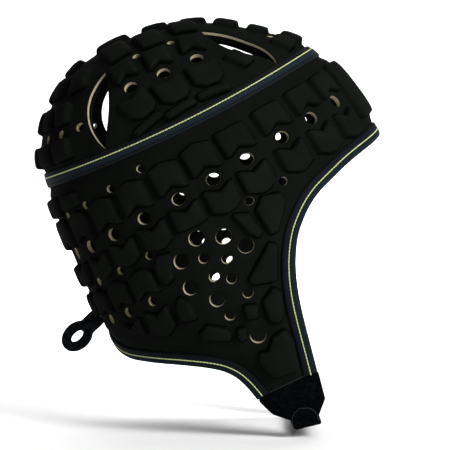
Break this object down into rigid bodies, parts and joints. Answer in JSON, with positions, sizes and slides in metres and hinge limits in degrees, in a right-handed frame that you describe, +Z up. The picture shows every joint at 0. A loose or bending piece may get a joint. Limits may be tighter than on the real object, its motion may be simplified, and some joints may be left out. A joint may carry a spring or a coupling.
{
  "type": "goalkeeper head guard",
  "caption": "Soft padded head guard of moulded foam blocks on a band and crown panel, with taped seam, bound edges, cheek flaps, chin strap and nape loop.",
  "frame": {"origin": "highest point inside the crown, on the middle line, where the guard sits on the head", "axes": "+X to the wearer's front, +Y to the wearer's left, +Z up as worn"},
  "size_m": [0.2155, 0.1682, 0.2524],
  "materials": {
    "foam_panel": "matte",
    "tape": "matte",
    "loop_pile": "matte",
    "lace": "matte"
  },
  "bodies": {
    "root": {"band_panel": "foam_panel", "crown_panel": "foam_panel", "seam_tape": "tape", "face_binding": "tape", "neck_binding": "tape", "chin_tab_right": "loop_pile", "chin_tab_left": "loop_pile", "chin_strap": "loop_pile", "nape_loop": "lace"}
  },
  "joints": []
}
